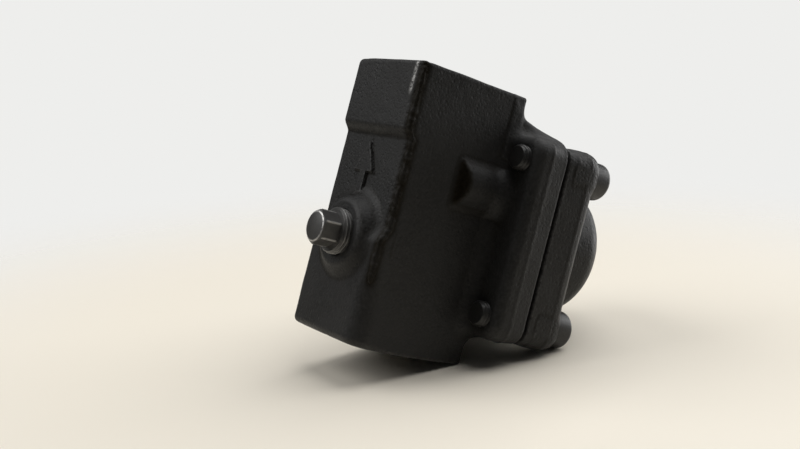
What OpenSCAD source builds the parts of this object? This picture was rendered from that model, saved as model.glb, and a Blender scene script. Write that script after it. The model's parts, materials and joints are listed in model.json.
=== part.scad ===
// Inline bimetal steam trap: forged block body with a socket at each end, a square
// flange, a domed four-screw cover, and a plug over the strainer pocket.
// Millimetres. Z is the pipe axis: the inlet socket's mouth is at Z = 0 and steam
// flows towards +Z. The cover is on the +Y side and the strainer plug on -Y.
// All inner pieces stand on one axis along +Y, the stem axis, except the strainer.

/* [Body block] */
// Face-to-face length along the pipe axis
block_h = 102; // [100:1:110]
// Width of the block (X)
block_w = 41.5; // [40:0.5:44]
// Depth of the block, front face to back face (Y)
block_d = 49.5; // [48:0.5:50]
// Radius of the block's four upright corners
block_corner_r = 2; // [1:0.5:4.5]
// Depth of the relief in the front face between the two port pads
relief_d = 2.5; // [1:0.5:4]
// Length of the upper port pad on the front face
upper_pad_h = 23.5; // [21:0.5:25]
// Rise of the rounded front edge at the inlet end
toe_r = 2.5; // [2:0.5:8]

/* [Ports] */
// Bore of each socket, for 3/4 inch pipe of 26.7 outside diameter
socket_bore = 27.2; // [27:0.1:27.4]
// Depth of each socket
socket_depth = 12.7; // [10:0.1:14]
// Flow bore behind each socket
flow_bore = 18; // [14:0.5:19]

/* [Flange and cover] */
// Side of the square body flange and cover
flange_size = 76; // [74:0.5:80]
// Corner radius of flange and cover
flange_corner_r = 6; // [4:0.5:8]
// Height of the stem axis, which is the centre of the flange
stem_axis_z = 50.5; // [50:0.5:51]
// Thickness of the body flange
flange_t = 14.3; // [13:0.1:15]
// How far the block's back face stands behind the flange's front face
flange_set = 3; // [2:0.5:4]
// Radius of the fillets that run from the block into the flange
flange_fillet_r = 6; // [3:0.5:7]
// Height of the sloping web that joins the outlet neck to the flange's top edge
neck_web_h = 8; // [4:0.5:9]
// Thickness of the cover's plate
cover_t = 15.8; // [15:0.1:18]
// Outside radius of the cover's dome
dome_r = 26.5; // [25:0.5:27]
// Height of the dome above the cover's plate
dome_h = 26; // [25:0.5:30]
// Wall of the dome
dome_wall = 4.5; // [4:0.5:5]
// Thickness of the cover gasket
gasket_t = 1.6; // [1:0.1:2]

/* [Cover screws] */
// Spacing of the four cover screws, both ways
screw_pitch = 58; // [57:0.2:59]
// Thread diameter of the screws, 3/8 inch
screw_d = 9.5; // [9:0.1:10]
// Length of the screws under the head
screw_l = 33.9; // [33:0.1:36]
// Diameter of the socket heads
screw_head_d = 14.3; // [13:0.1:15]
// Height of the socket heads
screw_head_h = 9.5; // [8:0.1:10]

/* [Strainer] */
// Height of the strainer axis above the inlet face
strainer_z = 37.5; // [37:0.5:38]
// Outside diameter of the strainer screen
screen_d = 10; // [9:0.5:10]
// Thread diameter of the plug at its mouth, 3/8 inch taper thread
plug_thread_d = 17; // [16:0.5:17.5]
// Hex head of the plug, across flats
plug_hex = 11.2; // [11:0.1:14]

/* [Bimetal element] */
// Number of bimetal pairs, two plates in each
pair_count = 6; // [4:1:6]
// Thickness of one bimetal plate
plate_t = 1.4; // [1:0.1:1.4]
// Tip-to-tip span of the four-legged plates
plate_span = 30; // [26:1:32]
// Width of each leg of the plates
plate_leg_w = 11; // [8:0.5:12]
// Thickness of the spacer between two pairs
spacer_t = 1.2; // [0.8:0.1:1.2]
// Stem diameter
stem_d = 4; // [3.4:0.1:4]
// Valve opening when cold, which is the travel of the stem
travel = 2; // [1:0.1:2]

/* [Hidden] */
BODY_COLOR = [0.16, 0.16, 0.15];
COVER_COLOR = [0.20, 0.20, 0.19];
SCREW_COLOR = [0.24, 0.24, 0.23];
PLUG_COLOR = [0.30, 0.29, 0.27];
SEAT_COLOR = [0.66, 0.66, 0.68];
STEM_COLOR = [0.72, 0.72, 0.74];
PLATE_COLOR = [0.62, 0.55, 0.44];
SPACER_COLOR = [0.75, 0.75, 0.76];
GASKET_COLOR = [0.34, 0.34, 0.36];

plate_count = 2 * pair_count;

// Curve fineness
round_fn = 96;
hole_fn = 48;
HEX = 6;
arc_steps = 8;
// Overlap that keeps cuts and joints from sharing a face
eps = 0.5;
// Radial gap of threads and of pieces held fast
snug = 0.03;
// Gap between stacked pieces, and the gap left when the valve is shut
stack_gap = 0.05;

// Body stations along Y, from the front face to the gasket
front_y = -block_d / 2;
back_y = block_d / 2;
relief_y = front_y + relief_d;
flange_front_y = back_y - flange_set;
gasket_y = flange_front_y + flange_t;
cover_y = gasket_y + gasket_t;
cover_face_y = cover_y + cover_t;
dome_end_y = cover_face_y + dome_h;

// Front face heights: upper pad, relief, lower port block
upper_pad_z = block_h - upper_pad_h;
relief_top_z = upper_pad_z - 4.5;
relief_bottom_z = strainer_z + 6;
lower_pad_z = strainer_z - 0.5;
// The side ridge covers the outlet passage beside the flange
ridge_r = 10;
ridge_z = stem_axis_z + 14.5;
ridge_proud = 4.7;
ridge_start_y = 1.5;
ridge_nose = 4;

// Passages in the body
chamber_r = 21;
chamber_step_y = back_y + 1.5;
seat_pocket_r = 17;
seat_floor_y = back_y - 4.75;
inlet_bore_top_z = strainer_z + 2.5;
outlet_bore_bottom_z = stem_axis_z - 4.8;
feed_r = 3.5;

// Strainer pocket and plug stations along Y
plug_boss_y = front_y - 3.25;
plug_boss_r = 12.5;
plug_boss_base_r = 16;
plug_thread_l = 13;
plug_taper = 0.4;
plug_thread_r = plug_thread_d / 2;
thread_pitch = 1.4;
thread_depth = 0.7;
plug_shoulder_y = plug_boss_y - 3;
plug_face_y = plug_shoulder_y - 7.2;
plug_end_y = plug_boss_y + plug_thread_l - 1;
screen_r = screen_d / 2;
screen_wall = 0.6;
screen_end_y = flow_bore / 2 + 0.5;
screen_hole_r = 0.7;
screen_rows = 6;

// Seat
seat_gasket_t = 0.8;
seat_thread_r = 6;
seat_nose_r = 4.8;
seat_nose_y = flow_bore / 2 - 1;
seat_thread_y = seat_nose_y + 2.5;
seat_hex = 15;
seat_hex_y = seat_floor_y + seat_gasket_t;
seat_top_y = seat_hex_y + 4;
seat_bore_r = 2.8;
seat_chamfer = 1;
seat_feed_r = 1.2;

// Valve ball, which meets the edge of the seat's bore
ball_r = 3.6;
ball_shut_y = seat_nose_y + seat_chamfer - sqrt(pow(ball_r, 2) - pow(seat_bore_r, 2)) - stack_gap;
ball_y = ball_shut_y - travel;

// Element stack along Y
stem_r = stem_d / 2;
base_t = 2;
base_r = 14;
base_hole_r = 1.6;
plate_hole_r = stem_r + 0.4;
pair_pitch = 2 * plate_t + spacer_t + 3 * stack_gap;
stack_y = seat_top_y + base_t + stack_gap;
stack_top_y = stack_y + pair_count * pair_pitch - spacer_t - stack_gap;
washer_r = 6;
washer_t = 1.2;
nut_hex = 7;
nut_t = 3.2;
nut_y = stack_top_y + washer_t + stack_gap;
lock_nut_y = nut_y + nut_t + stack_gap;
stem_end_y = lock_nut_y + nut_t + 2;

// Cover screws
screw_r = screw_d / 2;
spot_r = screw_head_d / 2 + 0.9;
spot_depth = 1;
screw_seat_y = cover_face_y - spot_depth;
screw_hole_r = screw_r + 0.4;
socket_hex = 7.9;
socket_hex_depth = 4.8;
head_edge = 1.2;
tip_edge = 1;
gasket_in_r = chamber_r + 0.5;
gasket_out_r = gasket_in_r + 5;

// Dome shape, and the turn of the plug's hex
dome_crown = 1.5;
dome_edge = 8;
dome_foot = 3;
plug_hex_chamfer = 1;
plug_turn = 4;

// Flow arrow on the relief of the front face
arrow_x = -1.8;
arrow_tip_z = relief_top_z - 2;
arrow_head_l = 11.3;
arrow_head_w = 12;
arrow_shaft_l = 8.4;
arrow_shaft_w = 3.4;
arrow_proud = 1.2;

function arc(c, r, from, to) =
  [for (i = [0 : arc_steps]) let (a = from + (to - from) * i / arc_steps) c + r * [cos(a), sin(a)]];
function hex_r(flats) = flats / 2 / cos(30);

// Puts a shape drawn upwards from the origin on the stem axis, pointing along +Y
module on_stem_axis(y) {
  translate([0, y, stem_axis_z]) rotate([-90, 0, 0]) children();
}

module on_strainer_axis(y) {
  translate([0, y, strainer_z]) rotate([-90, 0, 0]) children();
}

// Outline in the Y-Z plane, extruded along X and centred on it
module across_x(width) {
  translate([-width / 2, 0, 0]) rotate([90, 0, 90]) linear_extrude(width) children();
}

// Repeats a shape on the four screw axes, inside on_stem_axis
module at_screws() {
  for (x = [-1, 1], z = [-1, 1])
    translate([x * screw_pitch / 2, z * screw_pitch / 2, 0]) children();
}

module rounded_rect(w, h, r) {
  polygon(concat(
    arc([w / 2 - r, h / 2 - r], r, 0, 90),
    arc([r - w / 2, h / 2 - r], r, 90, 180),
    arc([r - w / 2, r - h / 2], r, 180, 270),
    arc([w / 2 - r, r - h / 2], r, 270, 360)
  ));
}

// Hollow fillet profile in the corner between a wall and a floor, with its back in both
module fillet_profile(r) {
  polygon(concat([[-eps, -eps], [r, -eps]], arc([r, r], r, 270, 180), [[-eps, r]]));
}

module block() {
  intersection() {
    linear_extrude(block_h) rounded_rect(block_w, block_d, block_corner_r);
    across_x(block_w + 2) polygon(concat(
      arc([front_y + toe_r, toe_r], toe_r, 270, 180),
      [[front_y, lower_pad_z], [relief_y, relief_bottom_z], [relief_y, relief_top_z],
       [front_y, upper_pad_z], [front_y, block_h], [back_y, block_h], [back_y, 0]]
    ));
  }
}

module body_flange() {
  on_stem_axis(flange_front_y)
    linear_extrude(flange_t) rounded_rect(flange_size, flange_size, flange_corner_r);
  half = flange_size / 2;
  for (side = [0, 1])
    mirror([side, 0, 0])
      translate([block_w / 2, flange_front_y, stem_axis_z - half + eps])
        mirror([0, 1, 0])
          linear_extrude(flange_size - 2 * eps) fillet_profile(flange_fillet_r);
  translate([0, back_y, stem_axis_z + half])
    across_x(block_w - 2 * block_corner_r)
      polygon([[-eps, -eps], [gasket_y - back_y - eps, -eps], [gasket_y - back_y - eps, 0],
               [0, neck_web_h], [-eps, neck_web_h]]);
  translate([0, back_y, stem_axis_z - half])
    mirror([0, 0, 1]) across_x(block_w - 2 * block_corner_r) fillet_profile(flange_fillet_r);
}

module side_ridges() {
  for (side = [0, 1])
    mirror([side, 0, 0])
      translate([block_w / 2 + ridge_proud - ridge_r, ridge_start_y, ridge_z]) rotate([-90, 0, 0]) {
        cylinder(h = ridge_nose, r1 = ridge_r - ridge_nose, r2 = ridge_r, $fn = round_fn);
        translate([0, 0, ridge_nose])
          cylinder(h = flange_front_y + eps - ridge_start_y - ridge_nose, r = ridge_r, $fn = round_fn);
      }
}

module flow_arrow() {
  head = arrow_head_w / 2;
  shaft = arrow_shaft_w / 2;
  tail = -arrow_head_l - arrow_shaft_l;
  translate([arrow_x, relief_y + eps, arrow_tip_z]) rotate([90, 0, 0])
    linear_extrude(arrow_proud + eps)
      polygon([[0, 0], [head, -arrow_head_l], [shaft, -arrow_head_l], [shaft, tail],
               [-shaft, tail], [-shaft, -arrow_head_l], [-head, -arrow_head_l]]);
}

module body_passages() {
  // Inlet socket and bore, and outlet socket and bore
  translate([0, 0, -eps]) cylinder(h = socket_depth + eps, d = socket_bore, $fn = round_fn);
  translate([0, 0, -eps]) cylinder(h = inlet_bore_top_z + eps, d = flow_bore, $fn = round_fn);
  translate([0, 0, block_h - socket_depth])
    cylinder(h = socket_depth + eps, d = socket_bore, $fn = round_fn);
  translate([0, 0, outlet_bore_bottom_z])
    cylinder(h = block_h - outlet_bore_bottom_z + eps, d = flow_bore, $fn = round_fn);
  // Tapered plug thread, strainer pocket and feed passage to the element chamber
  on_strainer_axis(plug_boss_y)
    cylinder(h = plug_thread_l, r1 = plug_thread_r, r2 = plug_thread_r - plug_taper, $fn = round_fn);
  on_strainer_axis(plug_boss_y - eps) cylinder(h = 2 * eps, r = plug_thread_r, $fn = round_fn);
  on_strainer_axis(plug_boss_y)
    cylinder(h = screen_end_y - plug_boss_y, r = screen_r + snug, $fn = hole_fn);
  on_strainer_axis(0) cylinder(h = seat_floor_y + eps, r = feed_r, $fn = hole_fn);
  // Element chamber, seat pocket, seat thread and nose
  on_stem_axis(chamber_step_y) cylinder(h = gasket_y - chamber_step_y + eps, r = chamber_r, $fn = round_fn);
  on_stem_axis(seat_floor_y)
    cylinder(h = chamber_step_y - seat_floor_y + eps, r = seat_pocket_r, $fn = round_fn);
  on_stem_axis(seat_thread_y)
    cylinder(h = seat_floor_y - seat_thread_y + eps, r = seat_thread_r, $fn = hole_fn);
  on_stem_axis(0) cylinder(h = seat_thread_y + eps, r = seat_nose_r + snug, $fn = hole_fn);
  // Threaded holes of the cover screws
  on_stem_axis(0) at_screws() cylinder(h = gasket_y + eps, r = screw_r + snug, $fn = hole_fn);
}

module body() {
  color(BODY_COLOR) difference() {
    union() {
      block();
      body_flange();
      side_ridges();
      flow_arrow();
      on_strainer_axis(plug_boss_y)
        cylinder(h = relief_y + eps - plug_boss_y, r1 = plug_boss_r, r2 = plug_boss_base_r, $fn = round_fn);
    }
    body_passages();
  }
}

// Half profile of the dome, radius against height above the cover's gasket face
function dome_profile(r, top, crown, edge, from) = concat(
  [[0, from], [r, from]],
  arc([r - edge, top - edge - crown], edge, 0, 80),
  [[0, top]]
);

module cover() {
  dome_top = dome_end_y - cover_y;
  inner_r = dome_r - dome_wall;
  color(COVER_COLOR) on_stem_axis(cover_y) difference() {
    union() {
      linear_extrude(cover_t) rounded_rect(flange_size, flange_size, flange_corner_r);
      rotate_extrude($fn = round_fn)
        polygon(dome_profile(dome_r, dome_top, dome_crown, dome_edge, cover_t - eps));
      rotate_extrude($fn = round_fn)
        polygon(concat(
          [[0, cover_t - eps], [dome_r + dome_foot, cover_t - eps]],
          arc([dome_r + dome_foot, cover_t + dome_foot], dome_foot, 270, 180),
          [[0, cover_t + dome_foot]]
        ));
    }
    rotate_extrude($fn = round_fn)
      polygon(dome_profile(inner_r, dome_top - dome_wall, dome_crown, dome_edge - dome_wall / 2, -eps));
    at_screws() {
      translate([0, 0, -eps]) cylinder(h = cover_t + 2 * eps, r = screw_hole_r, $fn = hole_fn);
      translate([0, 0, cover_t - spot_depth]) cylinder(h = dome_foot + spot_depth, r = spot_r, $fn = hole_fn);
    }
  }
}

module ring(r_out, r_in, t) {
  difference() {
    cylinder(h = t, r = r_out, $fn = round_fn);
    translate([0, 0, -eps]) cylinder(h = t + 2 * eps, r = r_in, $fn = round_fn);
  }
}

module cover_gasket() {
  color(GASKET_COLOR) on_stem_axis(gasket_y) ring(gasket_out_r, gasket_in_r, gasket_t);
}

module cap_screw() {
  head_r = screw_head_d / 2;
  difference() {
    union() {
      cylinder(h = screw_head_h - head_edge, r = head_r, $fn = hole_fn);
      translate([0, 0, screw_head_h - head_edge])
        cylinder(h = head_edge, r1 = head_r, r2 = head_r - head_edge / 2, $fn = hole_fn);
      translate([0, 0, tip_edge - screw_l])
        cylinder(h = screw_l - tip_edge + eps, r = screw_r, $fn = hole_fn);
      translate([0, 0, -screw_l])
        cylinder(h = tip_edge, r1 = screw_r - tip_edge, r2 = screw_r, $fn = hole_fn);
    }
    translate([0, 0, screw_head_h - socket_hex_depth])
      cylinder(h = socket_hex_depth + eps, r = hex_r(socket_hex), $fn = HEX);
  }
}

module cover_screws() {
  color(SCREW_COLOR) on_stem_axis(screw_seat_y) at_screws() cap_screw();
}

// Taper-threaded plug: turned chamfer on the hex, then the bare last threads
module strainer_plug() {
  hex_l = plug_shoulder_y - plug_face_y;
  face_r = plug_hex / 2 - 0.5;
  shoulder_l = plug_boss_y - plug_shoulder_y;
  ridge_count = floor(shoulder_l / thread_pitch);
  color(PLUG_COLOR) on_strainer_axis(plug_face_y) {
    intersection() {
      rotate([0, 0, plug_turn]) cylinder(h = hex_l + eps, r = hex_r(plug_hex), $fn = HEX);
      union() {
        cylinder(h = plug_hex_chamfer, r1 = face_r, r2 = hex_r(plug_hex), $fn = round_fn);
        translate([0, 0, plug_hex_chamfer]) cylinder(h = hex_l, r = hex_r(plug_hex) + eps, $fn = round_fn);
      }
    }
    rotate_extrude($fn = round_fn)
      polygon(concat(
        [[0, hex_l], [plug_thread_r - thread_depth, hex_l]],
        [for (i = [0 : ridge_count - 1], k = [0, 1])
          [plug_thread_r - thread_depth * (1 - k), hex_l + (i + k / 2) * thread_pitch]],
        [[plug_thread_r - snug, hex_l + shoulder_l],
         [plug_thread_r - plug_taper * (plug_end_y - plug_boss_y) / plug_thread_l - snug,
          plug_end_y - plug_face_y],
         [0, plug_end_y - plug_face_y]]
      ));
  }
}

module strainer_screen() {
  screen_l = screen_end_y - plug_end_y - 2 * snug;
  row_pitch = screen_l / (screen_rows + 1);
  color(SEAT_COLOR) on_strainer_axis(plug_end_y + snug) difference() {
    ring(screen_r, screen_r - screen_wall, screen_l);
    for (row = [1 : screen_rows], turn = [0 : 3])
      translate([0, 0, row * row_pitch]) rotate([90, 0, turn * 45 + (row % 2) * 22.5])
        cylinder(h = 2 * screen_d, r = screen_hole_r, center = true, $fn = 16);
  }
}

module valve_seat() {
  color(SEAT_COLOR) on_stem_axis(0) difference() {
    union() {
      translate([0, 0, seat_nose_y]) cylinder(h = seat_top_y - seat_nose_y, r = seat_nose_r, $fn = hole_fn);
      translate([0, 0, seat_thread_y])
        cylinder(h = seat_hex_y - seat_thread_y + eps, r = seat_thread_r - snug, $fn = hole_fn);
      translate([0, 0, seat_hex_y]) cylinder(h = seat_top_y - seat_hex_y, r = hex_r(seat_hex), $fn = HEX);
    }
    cylinder(h = seat_top_y + eps, r = seat_bore_r, $fn = hole_fn);
    translate([0, 0, seat_nose_y])
      cylinder(h = seat_chamfer, r1 = seat_bore_r + seat_chamfer, r2 = seat_bore_r, $fn = hole_fn);
    for (turn = [0 : 2])
      translate([0, 0, (seat_hex_y + seat_top_y) / 2]) rotate([90, 0, turn * 60 + 30])
        cylinder(h = 2 * seat_hex, r = seat_feed_r, center = true, $fn = hole_fn);
  }
}

module seat_gasket() {
  color(GASKET_COLOR) on_stem_axis(seat_floor_y)
    ring(seat_hex / 2 - eps, seat_thread_r + stack_gap, seat_gasket_t);
}

// Fixed base of the element: guides the stem and lets condensate through four holes
module stack_base() {
  color(SEAT_COLOR) on_stem_axis(seat_top_y) difference() {
    cylinder(h = base_t, r = base_r, $fn = round_fn);
    translate([0, 0, -eps]) {
      cylinder(h = base_t + 2 * eps, r = stem_r + stack_gap, $fn = hole_fn);
      for (turn = [0 : 3])
        rotate([0, 0, turn * 90 + 45]) translate([base_r - 4, 0, 0])
          cylinder(h = base_t + 2 * eps, r = base_hole_r, $fn = hole_fn);
    }
  }
}

module valve_stem() {
  color(STEM_COLOR) on_stem_axis(ball_y) {
    sphere(r = ball_r, $fn = hole_fn);
    cylinder(h = stem_end_y - ball_y, r = stem_r, $fn = hole_fn);
  }
}

// Four-legged plate; the two plates of a pair lie face to face
module bimetal_plate(i) {
  pair = floor((i - 1) / 2);
  upper = (i - 1) % 2;
  leg_end = plate_leg_w / 2;
  straight = plate_span - 2 * leg_end;
  color(PLATE_COLOR)
    on_stem_axis(stack_y + pair * pair_pitch + upper * (plate_t + stack_gap)) difference() {
      union() {
        for (turn = [0, 90]) rotate([0, 0, turn]) {
          translate([-straight / 2, -leg_end, 0]) cube([straight, plate_leg_w, plate_t]);
          for (side = [-1, 1])
            translate([side * straight / 2, 0, 0]) cylinder(h = plate_t, r = leg_end, $fn = hole_fn);
        }
      }
      translate([0, 0, -eps]) cylinder(h = plate_t + 2 * eps, r = plate_hole_r, $fn = hole_fn);
    }
}

module spacer_washer(i) {
  color(SPACER_COLOR) on_stem_axis(stack_y + i * pair_pitch - spacer_t - stack_gap)
    ring(washer_r, plate_hole_r, spacer_t);
}

module stack_washer() {
  color(SPACER_COLOR) on_stem_axis(stack_top_y) ring(washer_r, stem_r + snug, washer_t);
}

module stem_nut(y) {
  color(STEM_COLOR) on_stem_axis(y) difference() {
    cylinder(h = nut_t, r = hex_r(nut_hex), $fn = HEX);
    translate([0, 0, -eps]) cylinder(h = nut_t + 2 * eps, r = stem_r + snug, $fn = hole_fn);
  }
}

module adjusting_nut() {
  stem_nut(nut_y);
}

module lock_nut() {
  stem_nut(lock_nut_y);
}

body();
cover();
cover_gasket();
cover_screws();
strainer_plug();
strainer_screen();
valve_seat();
seat_gasket();
stack_base();
valve_stem();
for (i = [1 : plate_count]) bimetal_plate(i);
for (i = [1 : pair_count - 1]) spacer_washer(i);
stack_washer();
adjusting_nut();
lock_nut();
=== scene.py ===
import json
import math

import bpy
import numpy as np
from mathutils import Matrix, Vector


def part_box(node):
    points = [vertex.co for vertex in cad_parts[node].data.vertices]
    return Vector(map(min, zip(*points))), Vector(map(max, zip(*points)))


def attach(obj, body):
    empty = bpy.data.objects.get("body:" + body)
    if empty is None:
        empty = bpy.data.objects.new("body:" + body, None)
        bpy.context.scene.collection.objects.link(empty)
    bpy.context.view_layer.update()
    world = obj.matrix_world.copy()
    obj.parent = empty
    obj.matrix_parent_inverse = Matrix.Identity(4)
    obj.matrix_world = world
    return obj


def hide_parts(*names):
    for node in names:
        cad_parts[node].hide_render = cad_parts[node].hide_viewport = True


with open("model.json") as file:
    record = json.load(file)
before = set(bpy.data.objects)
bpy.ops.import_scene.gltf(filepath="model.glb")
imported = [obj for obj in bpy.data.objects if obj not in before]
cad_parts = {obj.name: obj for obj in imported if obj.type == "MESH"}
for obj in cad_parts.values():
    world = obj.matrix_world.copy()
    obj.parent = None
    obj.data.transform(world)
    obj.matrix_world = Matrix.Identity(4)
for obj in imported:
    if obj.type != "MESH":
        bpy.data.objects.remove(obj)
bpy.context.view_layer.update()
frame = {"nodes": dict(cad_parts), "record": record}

# The looks of a forged inline steam trap. Sizes are millimetres in the frame's own axes unless a comment
# says metres: Z is the pipe axis, +Y points from the front face to the cover. A name ending in _X, _Y or
# _Z is a place, and _R a radius. Meshes are scaled to metres when made.
MM = 0.001


def box_mm(node):
    low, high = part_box(node)
    return np.array(low) / MM, np.array(high) / MM


# ---------------------------------------------------------------- stations taken from the frame
body_low, body_high = box_mm("body")
cover_low, cover_high = box_mm("cover")
screws_low, screws_high = box_mm("cover_screws")
plug_low, plug_high = box_mm("strainer_plug")
seat_end_y = box_mm("valve_seat")[1][1]

BLOCK_H = body_high[2]
FLANGE_HALF = cover_high[0]
STEM_Z = (cover_low[2] + cover_high[2]) / 2
PLUG_Z = (plug_low[2] + plug_high[2]) / 2
GASKET_Y = body_high[1]
COVER_Y = cover_low[1]
DOME_Y = cover_high[1]
BOSS_Y = body_low[1]
PLUG_FACE_Y = plug_low[1]
PLUG_END_Y = plug_high[1]
TIP_Y = screws_low[1]
HEAD_END_Y = screws_high[1]
PORT = next(m["dims"] for m in frame["record"]["mounts"] if m["name"] == "inlet")

# ---------------------------------------------------------------- body forging
BLOCK_HALF = 20.75
FRONT_Y = -24.75
BACK_Y = 24.75
FLANGE_FRONT_Y = 21.75
# Upright corners: the front one on the +X side is sheared, and soft low down over SOFT_CORNER_Z
CORNER_R = 1.3
SHEARED_CORNER_R = 4.2
SOFT_CORNER_R = 7.5
SOFT_CORNER_Z = (30.0, 14.0)
# Edges of the two ends, and the lower end's crown
END_R = 1.0
SOFT_END_R = 2.3
TOE_R = 2.5
END_CROWN = 0.7
# Relief of the front face between the upper and the lower port pad
PAD_Z = 78.5
PAD_FOOT_Z = 74.0
RAMP_TOP_Z = 43.6
RAMP_FOOT_Z = 37.0
RELIEF = 2.5
# Square flange, the fillet that joins it to the block, and the web from the outlet neck
FLANGE_CORNER_R = 6.0
FLANGE_EDGE_R = 3.6
FLANGE_FILLET_R = 6.0
NECK_WEB_H = 8.0
WEB_INSET = 1.6
WEB_SPREAD = 1.0
WEB_EDGE_R = 2.5
WEB_FILLET_R = 3.0
JOINT_EDGE_R = 0.7
# Draft and parting ridge of the flange's rim
PARTING_Y = 28.6
RIM_DRAFT = 0.07
RIM_RIDGE = 0.14
# Side ridges over the outlet passage
RIDGE_R = 10.0
RIDGE_X = BLOCK_HALF + 4.7 - RIDGE_R
RIDGE_Z = STEM_Z + 14.5
RIDGE_START_Y = 1.5
RIDGE_NOSE_SLOPE = math.radians(30)
RIDGE_NOSE_R = 0.7
RIDGE_FILLET_R = 1.6
# Round boss of the plug
PLUG_BOSS_R = 12.5
PLUG_BOSS_BASE_R = 16.0
PLUG_BOSS_EDGE_R = 1.4
PLUG_BOSS_FILLET_R = 2.4
# Flow arrow, whose head and shaft are given as (width, length)
ARROW_X = -1.8
ARROW_TIP_Z = 72.0
ARROW_HEAD = (12.0, 11.3)
ARROW_SHAFT = (3.4, 8.4)
ARROW_PROUD = 1.2
ARROW_EDGE_R = 0.25
ARROW_FILLET_R = 0.2
# Flash left along the front corners, and the bare streak near its top
FLASH_END_Z = 23.0
FLASH_R = 1.2
FLASH_INSET = 1.1
FLASH_SETBACK = 1.5
FLASH_SETBACK_LEFT = 5.0
FLASH_BLEND_R = 0.5
RUBBED_Z = (89.0, 92.0)

# Unevenness of the forgings, as (height, lump size, seed) layers, and how far the skins lie inside
BODY_WAVES = ((0.10, 11, 3), (0.045, 3.1, 4))
TORN_LUMPS = ((0.34, 1.6, 5), (0.2, 0.9, 6))
FLASH_LUMPS = ((1.0, 2.6, 21), (0.6, 1.3, 22))
COVER_WAVES = ((0.07, 11, 13), (0.03, 3.1, 14))
BODY_SKIN_DEPTH = 0.08
COVER_SKIN_DEPTH = 0.06

# ---------------------------------------------------------------- machining inside the body
FLOW_BORE_R = 9.0
INLET_BORE_TOP_Z = PLUG_Z + 2.5
OUTLET_BORE_BOTTOM_Z = STEM_Z - 4.8
PLUG_THREAD_L = 13.0
SCREEN_POCKET_R = 5.03
SCREEN_POCKET_Y = 9.5
FEED_R = 3.5
FEED_END_Y = seat_end_y - 4
SEAT_NOSE_R = 4.83
SEAT_THREAD_Y = 10.5
SEAT_THREAD_R = 6.0
SEAT_FLOOR_Y = 20.0
SEAT_POCKET_R = 17.0
CHAMBER_STEP_Y = 26.25
CHAMBER_R = 21.0
SCREW_HOLE_Y = 15.0

# ---------------------------------------------------------------- cover forging
COVER_T = 15.8
COVER_EDGE_R = 3.6
COVER_PARTING = 10.8
DOME_R = 26.5
DOME_EDGE_R = 8.0
DOME_CROWN = 1.5
DOME_FOOT_R = 3.5
DOME_WALL = 4.5
SCREW_PAD_R = 8.9
SCREW_SEAT_Y = COVER_Y + COVER_T - 1.0
SPOT_R = 7.75

# ---------------------------------------------------------------- screws and plug
HEAD_R = 7.15
HEAD_H = 9.5
HEAD_ROUND_R = 1.9
SCREW_X = screws_high[0] - HEAD_R
SCREW_CORNERS = [(sx, sz) for sx in (-1, 1) for sz in (-1, 1)]
SCREW_R = 4.75
SCREW_PITCH = 1.5875
SCREW_THREAD_DEPTH = 0.85
SCREW_HEX = 7.9
HEX_DEPTH = 4.8
FIRST_HEX_TURN = 0.35
PLUG_HEX = 11.2
PLUG_HEX_CORNER_R = PLUG_HEX / 2 / math.cos(math.pi / 6)
PLUG_HEX_END_Y = PLUG_FACE_Y + 7.2
PLUG_TURN = math.radians(4)
PLUG_THREAD_R = 8.45
PLUG_THREAD_PITCH = 1.41
PLUG_THREAD_DEPTH = 0.75
PLUG_TAPER = 0.031

# Spacing of the grid on which a forging's surface is found
CELL = 0.6


# ================================================================ small maths
def smooth(low, high, v):
    """Eased step from 0 at low to 1 at high. Low may be the larger of the two."""
    t = np.clip((v - low) / (high - low), 0, 1)
    return t * t * (3 - 2 * t)


def rounded_and(a, b, r):
    """The part inside both, with its convex edge rounded to r."""
    return np.minimum(-r, np.maximum(a, b)) + np.hypot(np.maximum(a + r, 0), np.maximum(b + r, 0))


def rounded_or(a, b, r):
    """Both parts joined, with a fillet of radius r between them."""
    return np.maximum(r, np.minimum(a, b)) - np.hypot(np.maximum(r - a, 0), np.maximum(r - b, 0))


def rounded_square(x, z, half, r):
    qx, qz = np.abs(x) - half + r, np.abs(z) - half + r
    return np.hypot(np.maximum(qx, 0), np.maximum(qz, 0)) + np.minimum(np.maximum(qx, qz), 0) - r


def noise(x, y, z, cell, seed):
    """Smooth random field from -1 to 1 whose lumps are about one cell across."""
    size = 32
    table = np.random.default_rng(seed).uniform(-1, 1, (size, size, size)).astype(np.float32)
    whole, part = [], []
    for v in (x, y, z):
        v = np.asarray(v, float) / cell + 1000.5
        base = np.floor(v).astype(int)
        t = v - base
        whole.append(base)
        part.append(t * t * (3 - 2 * t))
    total = 0
    for corner in range(8):
        bits = [(corner >> axis) & 1 for axis in range(3)]
        weight = 1
        for bit, t in zip(bits, part):
            weight = weight * (t if bit else 1 - t)
        index = tuple((w + bit) % size for w, bit in zip(whole, bits))
        total = total + weight * table[index]
    return total


def lumps(x, y, z, layers):
    """Sum of noise layers, each given as (height, lump size, seed)."""
    return sum(height * noise(x, y, z, cell, seed) for height, cell, seed in layers)


def rounded_corner(r, centre_r, centre_along, degrees, parts):
    """Points of an arc of radius r, from facing outwards towards facing along the axis."""
    turns = [math.radians(degrees * i / parts) for i in range(parts + 1)]
    return [(centre_r + r * math.cos(t), centre_along + r * math.sin(t)) for t in turns]


# ================================================================ meshes
def new_object(name, mesh):
    obj = bpy.data.objects.new(name, mesh)
    bpy.context.scene.collection.objects.link(obj)
    return obj


def mesh_mm(name, points, faces):
    mesh = bpy.data.meshes.new(name)
    mesh.from_pydata((np.asarray(points, float) * MM).tolist(), [], faces)
    mesh.validate()
    mesh.update()
    return mesh


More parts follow.
